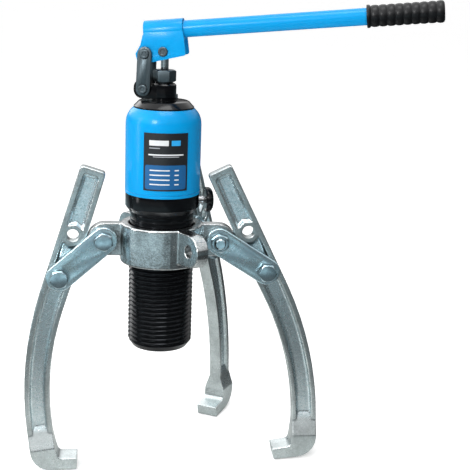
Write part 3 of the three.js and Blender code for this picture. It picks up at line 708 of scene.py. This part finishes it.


# Dark oil colour, also laid in corners as painted shade.
GRIME_AND_SHADE_TONE = (0.05, 0.045, 0.04)
FINISHES = {
    "cast_zinc": worn_finish(
        "zinc_on_casting",
        (0.50, 0.54, 0.55),
        (0.18, 0.20, 0.20),
        (0.16, 0.32),
        grain_scale=38.0,
        contrast=2.2,
        fine_scale=1000.0,
        fine_bump=0.35,
        fine_depth=0.08,
        crystal_scale=750.0,
        crystal_share=0.55,
        crystal_colour=(0.74, 0.76, 0.77),
        crystal_rough=0.14,
        crystal_bump=0.3,
        lump_scale=85.0,
        lump_bump=0.6,
        lump_depth=0.8,
        grime=(12, 0.8, GRIME_AND_SHADE_TONE),
        wear=(2.2, 0.9, (0.96, 0.96, 0.95)),
        bare_rough=0.16,
    ),
    "forged_zinc": worn_finish(
        "zinc_on_forging",
        (0.64, 0.71, 0.72),
        (0.27, 0.30, 0.30),
        (0.20, 0.38),
        grain_scale=30.0,
        contrast=1.6,
        fine_scale=900.0,
        fine_bump=0.3,
        fine_depth=0.08,
        crystal_scale=620.0,
        crystal_mask="as_struck",
        struck_colour=(0.62, 0.80, 0.86),
        crystal_share=0.85,
        crystal_colour=(0.90, 0.93, 0.95),
        crystal_rough=0.18,
        crystal_bump=0.5,
        lump_scale=60.0,
        lump_bump=0.3,
        lump_depth=0.5,
        grime=(6, 0.5, GRIME_AND_SHADE_TONE),
        wear=(1.2, 0.7, (0.95, 0.95, 0.94)),
        bare_rough=0.16,
    ),
    "strap_zinc": worn_finish(
        "zinc_on_plate",
        (0.70, 0.94, 1.0),
        (0.40, 0.58, 0.68),
        (0.22, 0.36),
        grain_scale=34.0,
        contrast=2.2,
        fine_scale=800.0,
        fine_bump=0.35,
        fine_depth=0.08,
        crystal_scale=520.0,
        crystal_share=0.4,
        crystal_colour=(0.74, 0.82, 0.86),
        crystal_rough=0.18,
        crystal_bump=0.2,
        lump_scale=60.0,
        lump_bump=0.35,
        grime=(6, 0.7, GRIME_AND_SHADE_TONE),
        wear=(1.6, 0.9, (0.92, 0.95, 0.96)),
        bare_rough=0.16,
    ),
    "fastener_zinc": worn_finish(
        "bright_zinc_on_fasteners",
        (0.56, 0.70, 0.76),
        (0.24, 0.32, 0.36),
        (0.10, 0.22),
        grain_scale=120.0,
        contrast=2.0,
        fine_scale=1600.0,
        fine_bump=0.2,
        grime=(5, 1.0, GRIME_AND_SHADE_TONE),
        wear=(0.7, 0.9, (0.95, 0.97, 0.98)),
        bare_rough=0.12,
    ),
    "black_oxide": worn_finish(
        "black_oxide_steel",
        (0.012, 0.014, 0.016),
        (0.004, 0.004, 0.005),
        (0.14, 0.26),
        grain_scale=80.0,
        stretch=(1, 1, 4),
        fine_scale=900.0,
        fine_bump=0.10,
        metallic=0.6,
        specular=0.2,
        wear=(0.7, 0.25, (0.16, 0.18, 0.20)),
        bare_rough=0.22,
    ),
    "black_paint": worn_finish(
        "black_gloss_paint",
        (0.003, 0.004, 0.005),
        (0.001, 0.001, 0.002),
        (0.12, 0.20),
        grain_scale=70.0,
        fine_scale=500.0,
        fine_bump=0.06,
        metallic=0.0,
        coat=0.05,
        coat_rough=0.06,
        specular=0.2,
        lump_scale=240.0,
        lump_bump=0.10,
        lump_depth=0.1,
        wear=(0.8, 0.5, (0.07, 0.075, 0.08)),
    ),
    "blue_paint": worn_finish(
        "sky_blue_gloss_paint",
        (0.0, 0.36, 0.78),
        (0.0, 0.29, 0.68),
        (0.20, 0.30),
        grain_scale=30.0,
        contrast=1.0,
        fine_scale=420.0,
        fine_bump=0.05,
        metallic=0.0,
        coat=0.04,
        coat_rough=0.05,
        specular=0.18,
        lump_scale=260.0,
        lump_bump=0.12,
        lump_depth=0.12,
        # Painted shade: a darker blue laid in the paint's corners and creases.
        grime=(3, 0.5, (0.0, 0.05, 0.14)),
        wear=(0.7, 0.3, (0.08, 0.40, 0.72)),
        bare_rough=0.35,
    ),
    "link_steel": worn_finish(
        "brushed_link_steel",
        (0.12, 0.155, 0.175),
        (0.045, 0.055, 0.06),
        (0.34, 0.50),
        grain_scale=260.0,
        stretch=(1, 1, 0.08),
        fine_scale=900.0,
        fine_bump=0.35,
        # Near black in corners: oil and painted shade.
        grime=(5, 1.0, (0.004, 0.004, 0.004)),
        wear=(0.5, 0.5, (0.30, 0.31, 0.31)),
    ),
    "ground_steel": worn_finish(
        "ground_steel",
        (0.50, 0.51, 0.52),
        (0.26, 0.26, 0.27),
        (0.06, 0.14),
        grain_scale=90.0,
        stretch=(0.2, 0.2, 5),
        fine_scale=700.0,
        fine_bump=0.2,
        grime=(4, 0.6, GRIME_AND_SHADE_TONE),
        wear=(0.5, 0.6, (0.8, 0.8, 0.8)),
    ),
    "spring_steel": worn_finish(
        "spring_steel",
        (0.35, 0.35, 0.36),
        (0.16, 0.16, 0.17),
        (0.3, 0.45),
        grain_scale=200.0, grime=(3, 0.6, GRIME_AND_SHADE_TONE),
    ),
    "seal_rubber": worn_finish(
        "seal_rubber",
        (0.016, 0.016, 0.016),
        (0.008, 0.008, 0.008),
        (0.5, 0.7),
        metallic=0.0, grain_scale=300.0, fine_bump=0.3,
    ),
    "grip_rubber": worn_finish(
        "ribbed_grip_rubber",
        (0.005, 0.006, 0.007),
        (0.002, 0.002, 0.003),
        (0.30, 0.46),
        metallic=0.0,
        grain_scale=180.0,
        specular=0.25,
        fine_scale=1400.0,
        fine_bump=0.4,
        fine_depth=0.08,
        wear=(0.8, 0.3, (0.05, 0.05, 0.052)),
        bare_rough=0.5,
    ),
    "label_film": label_finish(),
}


def finished(obj, body, slot, *nodes):
    """Gives a piece its finish, its body and the CAD nodes it stands for."""
    obj.data.materials.clear()
    obj.data.materials.append(FINISHES[slot])
    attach(obj, body)
    if nodes:
        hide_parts(*nodes)
    return obj


def refinish(slot, *nodes):
    """Gives CAD nodes whose shape is right their detailed finish."""
    for name in nodes:
        mesh = frame["nodes"][name].data
        mesh.materials.clear()
        mesh.materials.append(FINISHES[slot])


# ------------------------------------------------------------------ barrel and base
def heights(node_name):
    """A CAD node's lowest and highest point, in millimetres."""
    low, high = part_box(node_name)
    return low.z / MM, high.z / MM


def screw_barrel():
    end, neck_top = heights("barrel")
    thread_top = neck_top - NECK_LENGTH
    thread = (THREAD_CREST, THREAD_ROOT, THREAD_PITCH)
    rod = threaded_rod("screw_barrel", *thread, end - 1, thread_top + 1, 96)
    envelope = turned(
        "barrel_envelope",
        [
            (BARREL_BORE, end),
            (35.2, end),
            (36.4, end + 0.5),
            (THREAD_CREST - 0.1, end + 8.6),
            (THREAD_CREST + 0.2, end + 10),
            (THREAD_CREST + 0.2, thread_top - 2),
            (THREAD_CREST - 1.6, thread_top),
            (BARREL_BORE, thread_top),
        ],
    )
    barrel = smoothed(combined(rod, envelope, "INTERSECT"), 28)
    finished(barrel, "barrel", "black_oxide", "barrel")
    neck = turned(
        "barrel_neck",
        [
            (BARREL_BORE, thread_top),
            (NECK_RADIUS - 1.2, thread_top),
            (NECK_RADIUS, thread_top + 1.2),
            (NECK_RADIUS, thread_top + 12.6),
            (NECK_RADIUS - 1.1, thread_top + 13.2),
            (NECK_RADIUS - 1.1, thread_top + 14.6),
            (NECK_RADIUS, thread_top + 15.2),
            (NECK_RADIUS, neck_top),
            (BARREL_BORE, neck_top),
        ],
        128,
    )
    finished(eased(neck, 0.25, 2), "barrel", "black_oxide", "barrel")


def base_housing():
    bottom, top = heights("base_block")
    rim = top - 8
    housing = turned(
        "base_housing",
        [
            (3, bottom),
            (42.9, bottom),
            (42.9, bottom + 1.6),
            (46.2, bottom + 5.6),
            (48.2, bottom + 8.4),
            (48.2, rim),
            (45.4, rim),
            (45.4, rim + 3),
            (42.8, rim + 3),
            (42.8, top),
            (3, top),
        ],
        160,
    )
    drilled(housing, 5.2, valve_frame(), 40, 62)
    finished(eased(housing, 0.6, 3), "head", "black_paint", "base_block")


def oil_reservoir():
    """A deep-drawn shell with a shallow groove near its foot and a round shoulder."""
    bottom, top = heights("oil_tank")
    radius = TANK_RADIUS
    shoulder = [
        (radius, top - 21),
        (radius - 0.35, top - 16.2),
        (radius - 1.3, top - 12),
        (radius - 2.9, top - 8),
        (radius - 5.2, top - 4.5),
        (radius - 7.6, top - 1.9),
        (radius - 9.4, top),
    ]
    foot = [(radius - TANK_WALL, bottom), (radius - 0.5, bottom), (radius, bottom + 0.5)]
    groove = [(radius, bottom + 3.2), (radius - 0.45, bottom + 3.6)]
    groove += [(radius - 0.45, bottom + 4.3), (radius, bottom + 4.7)]
    mouth = [(20, top), (20, top - TANK_WALL)]
    inner = [(r - TANK_WALL, z - TANK_WALL) for r, z in reversed(shoulder)]
    shell = turned("oil_reservoir", foot + groove + shoulder + mouth + inner, 160)
    finished(smoothed(shell, 40), "head", "blue_paint", "oil_tank")


def front_label():
    start = math.radians(LABEL_AZIMUTH + LABEL_HALF_ANGLE)
    edge = (LABEL_RADIUS * math.cos(start), LABEL_RADIUS * math.sin(start))
    bottom, top = heights("tank_label")
    drawn_line("front_label", [(*edge, bottom + (top - bottom) * i / 8) for i in range(9)])
    sweep = math.radians(2 * LABEL_HALF_ANGLE)
    bpy.ops.mesh.spin(steps=40, angle=sweep, center=(0, 0, 0), axis=(0, 0, 1))
    bpy.ops.mesh.select_all(action="SELECT")
    bpy.ops.mesh.normals_make_consistent(inside=False)
    label = done()
    if label.data.polygons[0].normal.y > 0:
        label.data.flip_normals()
    with_modifier(label, "SOLIDIFY", thickness=0.35 * MM, offset=1)
    finished(smoothed(label, 40), "head", "label_film", "tank_label")


def top_cover():
    bottom, top = heights("top_plate")
    cover = turned(
        "top_cover",
        [(10, bottom), (38.8, bottom), (38.8, bottom + 1.6), (37.6, bottom + 2.6)]
        + [(32.6, top - 0.7), (31.2, top), (10, top)],
        128,
    )
    plug_low, plug_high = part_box("filler_plug")
    plug_middle = (plug_low + plug_high) / 2
    hole = Matrix.Translation((plug_middle.x, plug_middle.y, 0))
    drilled(cover, 4.4, hole, bottom - 5, top + 5)
    finished(eased(cover, 0.4, 2), "head", "black_paint", "top_plate")
    tip, head_top = heights("filler_plug")
    profile = [(0, tip), (3.4, tip), (4, tip + 0.8), (4, top + 1.4), (0, top + 1.4)]
    stem = turned("filler_screw", profile, 48)
    head = hexagon("filler_head", 12, top + PLAY, head_top, False, True)
    plug = placed(combined(head, stem, "UNION"), hole)
    finished(eased(plug, 0.25, 2), "head", "ground_steel", "filler_plug")


def release_valve():
    stem = turned(
        "valve_spindle",
        [(0, 40.6), (2, 40.6), (4.9, 44), (4.9, 50), (4.3, 50.4), (4.3, 51.2), (4.9, 51.6)]
        + [(4.9, 56), (4.5, 56.5), (3, 56.5), (3, 63), (0, 63)],
        64,
    )
    finished(smoothed(placed(stem, valve_frame()), 30), "valve", "ground_steel", "valve_stem")
    knob = turned(
        "valve_knob_grip",
        [(3.3, 57), (14.6, 57), (16.0, 57.5), (16.6, 58.8), (16.6, 62.2), (15.4, 64.4)]
        + [(12.6, 66.3), (8, 67.4), (0, 67.8), (0, 63.3), (3.3, 63.3)],
    )
    knob = combined(knob, knob_flutes(), "DIFFERENCE")
    finished(eased(placed(knob, valve_frame()), 0.3, 2), "valve", "black_paint", "valve_knob")


def knob_flutes():
    """Round cutters that flute the rim of the knob."""
    cutters = []
    for i in range(KNOB_FLUTES):
        turn = FULL_TURN * i / KNOB_FLUTES
        cutter = turned("flute", [(0, 50), (1.7, 50), (1.7, 70), (0, 70)], 24)
        at = Vector((math.cos(turn), math.sin(turn), 0)) * 17.5 * MM
        cutters.append(placed(cutter, Matrix.Translation(at)))
    only(cutters[0])
    for cutter in cutters:
        cutter.select_set(True)
    bpy.ops.object.join()
    return bpy.context.object


# ------------------------------------------------------------------ pump and lever
def pump():
    body = eased(copied("pump_body", "pump_cylinder"), 0.7, 3, 25)
    finished(body, "head", "black_paint", "pump_body")
    bottom, top = heights("gland_nut")
    seat = bottom + GLAND_SPIGOT
    nut = hexagon("gland_hexagon", GLAND_FLATS, seat, top, True, True, GLAND_TURN)
    profile = [(0, seat - GLAND_SPIGOT), (9, seat - GLAND_SPIGOT), (9, seat - 1.5)]
    profile += [(11, seat - 1.5), (11, seat + 1), (0, seat + 1)]
    nut = combined(nut, turned("gland_spigot", profile, 64), "UNION")
    drilled(nut, 5.3, Matrix.Identity(4), 330, 380)
    finished(eased(nut, 0.35, 2), "head", "link_steel", "gland_nut")
    stem = eased(copied("plunger", "pump_plunger"), 0.3, 2, 25)
    finished(stem, "plunger", "ground_steel", "plunger")


def cross_pin(name, node_name, body, point, reach, head_radius):
    """A headed pin across the lever through a point, with a turned ring on each head."""
    end = reach + PIN_HEAD
    half = [
        (0, end - 0.5),
        (head_radius * 0.45, end - 0.5),
        (head_radius * 0.55, end),
        (head_radius - 0.8, end),
        (head_radius, end - 0.8),
        (head_radius, reach),
        (4, reach),
    ]
    profile = [(r, -z) for r, z in half] + [(r, z) for r, z in reversed(half)]
    middle = (lever_frame().inverted() @ point) * Vector((1, 1, 0))
    pin = placed(turned(name, profile, 64), lever_frame() @ Matrix.Translation(middle))
    finished(smoothed(pin, 30), body, "link_steel", node_name)


def pump_linkage():
    for side in ("a", "b"):
        plate = eased(copied("link_plate_" + side, "side_link_" + side), 0.5, 2, 25)
        finished(plate, "links", "link_steel", "link_plate_" + side)
    low_pin, high_pin = joint_point("link_swing"), joint_point("lever")
    cross_pin("low_link_pin", "link_pin_low", "links", low_pin, 18.2, 5.6)
    cross_pin("high_link_pin", "link_pin_high", "links", high_pin, 18.2, 5.6)
    pin_low, pin_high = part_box("plunger_pin")
    middle = (pin_low + pin_high) / 2
    cross_pin("plunger_cross_pin", "plunger_pin", "plunger", middle, 13.9, 6.0)


def lever_parts():
    socket = eased(copied("lever_socket", "lever_yoke"), 0.6, 3, 28)
    finished(socket, "lever", "blue_paint", "lever_socket")
    tube = turned(
        "lever_pipe",
        [(8.25, -21), (10.2, -21), (10.65, -20.4), (10.65, 338.6), (10.2, 339), (8.25, 339)],
        64,
    )
    finished(smoothed(placed(tube, tube_frame()), 30), "lever", "blue_paint", "lever_tube")
    grip = smoothed(placed(turned("hand_grip", grip_profile(), 72), tube_frame()), 50)
    finished(grip, "lever", "grip_rubber", "lever_grip")


def grip_profile():
    """The moulded grip's section: socket for the tube, flange, round ribs and closed end."""
    start, end = GRIP_START, GRIP_END
    profile = [(0, end - 7.7), (10.95, end - 7.7), (10.95, start), (13.6, start)]
    profile += [(14.2, start + 0.6), (14.2, start + 2.9), (13.4, start + 4.0)]
    for i in range(GRIP_RINGS):
        ring = start + 5 + GRIP_RING_STEP * i
        profile += [(12.2, ring), (12.95, ring + 1.3), (13.35, ring + 3.2), (13.45, ring + 5.0)]
        profile += [(13.35, ring + 6.7), (12.95, ring + 8.5)]
    profile += [(12.2, end - 10.3), (13.2, end - 8.6), (13.7, end - 6), (13.6, end - 3.4)]
    return profile + [(12.6, end - 1.3), (10.6, end - 0.3), (0, end)]


def ram_spring():
    """The return spring round the ram, copied with a mesh of its own; the real spring shortens on
    its seat as the piston comes down.
    """
    spring = copied("return_spring", "ram_return_spring")
    finished(spring, "barrel", "spring_steel", "return_spring")
    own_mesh(spring)


# ------------------------------------------------------------------ collar and legs
def ear_collar():
    body = cast(copied("collar", "cast_collar"), VOXEL, 4)
    finished(body, "collar", "cast_zinc", "collar")


def mark_as_struck(arm):
    """Marks the pocket floors, which the dies left rough between the ground rims.

    The mark is full above the arm bolt and half below it, where the crystals show less.
    """
    mask = arm.data.attributes.new("as_struck", "FLOAT", "POINT")
    for vertex, value in zip(arm.data.vertices, mask.data):
        depth = ARM_HALF_THICK - abs(vertex.co.z) / MM
        freshness = 1.0 if vertex.co.x < 0 else 0.5
        faces_out = abs(vertex.normal.z) > 0.6
        value.value = min(max(depth / 2 - 0.3, 0), 1) * freshness if faces_out else 0


def jaw_arms():
    """One forging, copied to all three legs."""
    arm = placed(copied("arm_right", "arm_forging"), arm_frame("right").inverted())
    arm = cast(arm, VOXEL, 5)
    mark_as_struck(arm)
    for leg in LEGS:
        piece = placed(duplicate(arm, "jaw_arm_" + leg), arm_frame(leg))
        finished(piece, "jaw_" + leg, "forged_zinc", "arm_" + leg)
    bpy.data.objects.remove(arm)


def leg_straps():
    length = strap_length(LEGS[0]) / MM
    outline = arc(length, 0, STRAP_ROUND, -90, 90, 24) + arc(0, 0, STRAP_ROUND, 90, 270, 24)
    strap = cut_bar("strap_blank", outline, 0, STRAP_THICK)
    for place in (0, length):
        drilled(strap, BOLT_HOLE, Matrix.Translation((place * MM, 0, 0)), -5, STRAP_THICK + 5)
    strap = eased(strap, 1.0, 3)
    for leg in LEGS:
        for letter, shift in (("a", STRAP_FACE), ("b", -STRAP_FACE - STRAP_THICK)):
            at = strap_frame(leg) @ Matrix.Translation((0, 0, shift * MM))
            piece = placed(duplicate(strap, f"side_strap_{leg}_{letter}"), at)
            finished(piece, "straps_" + leg, "strap_zinc", f"strap_{leg}_{letter}")
    bpy.data.objects.remove(strap)


def hex_bolt():
    """The bolt with its head at the low end and its thread showing at the tail."""
    seat = -BOLT_FACE
    tail = BOLT_FACE + PLAY + NUT_HEIGHT + BOLT_TAIL
    head = hexagon("bolt_blank", HEX_FLATS, seat - HEAD_HEIGHT, seat - 0.4, True, False)
    washer_face = [(0, seat - 1), (10.3, seat - 1), (10.3, seat), (0, seat)]
    washer = turned("bolt_washer", washer_face, 64)
    profile = [(0, seat - 2), (BOLT_RADIUS, seat - 2)]
    height = BOLT_FACE - 4
    while height < tail - 3:
        profile += [(BOLT_RADIUS, height), (BOLT_ROOT, height + BOLT_PITCH / 2)]
        height += BOLT_PITCH
    profile += [(BOLT_RADIUS, tail - 1.4), (BOLT_RADIUS - 1.4, tail), (0, tail)]
    bolt = eased(combined(head, washer, "UNION"), 0.35, 2)
    return smoothed(combined(bolt, turned("bolt_shank", profile, 48), "UNION"))


def hex_nut():
    top = BOLT_FACE + NUT_HEIGHT
    nut = hexagon("nut_blank", HEX_FLATS, BOLT_FACE, top, True, True, NUT_TURN)
    drilled(nut, BOLT_RADIUS + PLAY, Matrix.Identity(4), 0, 60)
    return eased(nut, 0.35, 2)


def leg_fasteners():
    bolt, nut = hex_bolt(), hex_nut()
    for leg in LEGS:
        for joint, side, at in (
            ("ear", EAR_HEAD_SIDE[leg], strap_frame(leg)),
            ("arm", ARM_HEAD_SIDE[leg], arm_frame(leg)),
        ):
            turn = Matrix.Rotation(math.pi if side > 0 else 0, 4, "X")
            piece = placed(duplicate(bolt, f"{joint}_hex_bolt_{leg}"), at @ turn)
            finished(piece, "straps_" + leg, "fastener_zinc", f"{joint}_bolt_{leg}")
            piece = placed(duplicate(nut, f"{joint}_hex_nut_{leg}"), at @ turn)
            finished(piece, "straps_" + leg, "fastener_zinc", f"{joint}_nut_{leg}")
    bpy.data.objects.remove(bolt)
    bpy.data.objects.remove(nut)


# ------------------------------------------------------------------ floor, light, camera
def lowest_point(obj, direction):
    points = [vertex.co for vertex in obj.data.vertices]
    return min(points, key=lambda point: point.dot(direction))


def floor():
    """A pale floor under the three toes, which stand at slightly different heights.

    What the metal mirrors of it is a painted reflection, apart from the pale colour the camera
    sees:
    bright near the tool and far away, dark between, and darker on the right.
    """
    upward = UP
    for _ in range(3):
        toes = [lowest_point(frame["nodes"]["arm_" + leg], upward) for leg in LEGS]
        upward = (toes[1] - toes[0]).cross(toes[2] - toes[0]).normalized()
        upward = upward if upward.z > 0 else -upward
    nothing_selected()
    bpy.ops.mesh.primitive_circle_add(vertices=96, radius=FLOOR_RADIUS, fill_type="NGON")
    ground = named("studio_floor")
    centre = sum(toes, Vector()) / 3 - upward * TOE_GAP
    turn = upward.to_track_quat("Z", "Y").to_matrix().to_4x4()
    placed(ground, Matrix.Translation(centre) @ turn)
    material, tree, place, shader = new_material("pale_floor_painted_reflections")
    tone = grouped(tree, GRAIN, {"Place": place, "Scale": 2.0, "Detail": 3.0, "Contrast": 0.4})
    pale = blended(tree, tone.outputs["Tone"], (0.88, 0.88, 0.88), (0.92, 0.92, 0.92))
    away = node(tree, "VectorMath", {0: place}, operation="LENGTH").outputs["Value"]
    near, far = ramp(tree, away, 0.52, 0.20), ramp(tree, away, 0.95, 1.30)
    # Painted reflection: banded colours that only glossy rays see on the floor.
    painted_reflection = blended(tree, near, MIDDLE_PAINTED_REFLECTION, NEAR_PAINTED_REFLECTION)
    painted_reflection = blended(tree, far, painted_reflection, FAR_PAINTED_REFLECTION)
    sides = node(tree, "SeparateXYZ", {0: place}).outputs
    front, right = ramp(tree, sides[1], -2.6, -3.6), ramp(tree, sides[0], 0.28, 0.55, high=0.75)
    painted_reflection = blended(tree, front, painted_reflection, FRONT_PAINTED_REFLECTION)
    painted_reflection = blended(tree, right, painted_reflection, RIGHT_PAINTED_REFLECTION)
    rays = node(tree, "LightPath")
    # Reflections get the painted reflection colours, the camera gets the pale floor.
    colour = blended(tree, rays.outputs["Is Glossy Ray"], pale, painted_reflection)
    tree.links.new(colour, shader.inputs["Base Color"])
    shader.inputs["Roughness"].default_value = 0.8
    shader.inputs["Specular IOR Level"].default_value = 0.1
    glow = maths(tree, "MULTIPLY", rays.outputs["Is Camera Ray"], 0.5)
    tree.links.new(glow, shader.inputs["Emission Strength"])
    shader.inputs["Emission Color"].default_value = (1, 1, 1, 1)
    ground.data.materials.append(material)


def soft_light(name, at, aim, size, power, colour=(1, 1, 1)):
    nothing_selected()
    bpy.ops.object.light_add(type="AREA", location=at)
    lamp = bpy.context.object
    lamp.name = name
    lamp.data.shape = "RECTANGLE"
    lamp.data.size, lamp.data.size_y = size
    lamp.data.energy = power
    lamp.data.color = colour
    lamp.visible_camera = False
    lamp.rotation_euler = (Vector(aim) - Vector(at)).to_track_quat("-Z", "Y").to_euler()
    return lamp


def studio():
    """A white backdrop, soft room light from the left, a bright sky to mirror, four softboxes."""
    world = bpy.data.worlds.new("studio_world")
    bpy.context.scene.world = world
    world.use_nodes = True
    tree = world.node_tree
    tree.nodes.clear()

    def background(colour, strength):
        return node(tree, "Background", {"Color": colour, "Strength": strength}).outputs[0]

    place = node(tree, "TexCoord").outputs["Generated"]
    direction = node(tree, "SeparateXYZ", {0: place}).outputs
    overhead = ramp(tree, direction[2], 0.12, 0.40, 0.05, 2.1)
    side = ramp(tree, direction[0], -0.8, 0.8, 1.2, 0.5)
    mirrored = background(maths(tree, "MULTIPLY", overhead, side), 1.0)
    plain = background(ramp(tree, direction[0], -1.0, 1.0, 1.0, 0.1), 0.9)
    backdrop = background((1, 1, 1, 1), 1.0)
    rays = node(tree, "LightPath").outputs
    lit = node(tree, "MixShader", {0: rays["Is Glossy Ray"], 1: plain, 2: mirrored})
    seen = {0: rays["Is Camera Ray"], 1: lit.outputs[0], 2: backdrop}
    node(tree, "OutputWorld", {"Surface": node(tree, "MixShader", seen).outputs[0]})
    soft_light("key_softbox", (-1.0, -1.7, 1.1), (0, 0, 0.15), (0.4, 0.6), 22)
    soft_light("top_softbox", (0.1, -0.3, 2.0), (0, 0, 0.2), (0.9, 0.7), 12)
    soft_light("left_strip", (-1.7, -0.2, 0.6), (0, 0, 0.1), (0.25, 1.3), 6)
    soft_light("back_fill", (-0.9, 1.6, 1.0), (0, 0, 0.2), (0.8, 1.0), 5)


def viewing_camera():
    yaw, pitch, roll = (math.radians(angle) for angle in CAMERA_ANGLES)
    forward = Vector(
        (math.sin(yaw) * math.cos(pitch), math.cos(yaw) * math.cos(pitch), -math.sin(pitch))
    )
    level = Vector((math.cos(yaw), -math.sin(yaw), 0))
    upright = level.cross(forward)
    right = level * math.cos(roll) + upright * math.sin(roll)
    up = upright * math.cos(roll) - level * math.sin(roll)
    nothing_selected()
    bpy.ops.object.camera_add()
    camera = bpy.context.object
    camera.name = "viewing_camera"
    camera.matrix_world = placing(right, up, -forward, Vector(CAMERA_PLACE))
    camera.data.sensor_width = 36
    camera.data.lens = CAMERA_LENS
    camera.data.clip_start = 0.05
    camera.data.clip_end = 200
    bpy.context.scene.camera = camera


viewing_camera()
screw_barrel()
base_housing()
oil_reservoir()
front_label()
top_cover()
release_valve()
pump()
pump_linkage()
lever_parts()
ram_spring()
ear_collar()
jaw_arms()
leg_straps()
leg_fasteners()
refinish("black_oxide", "barrel_end_ring")
refinish("ground_steel", "ram", "piston", "pump_tube")
refinish("seal_rubber", "piston_seal", "tank_seal")
floor()
studio()
bpy.context.scene.view_settings.view_transform = "Standard"

nothing_selected()
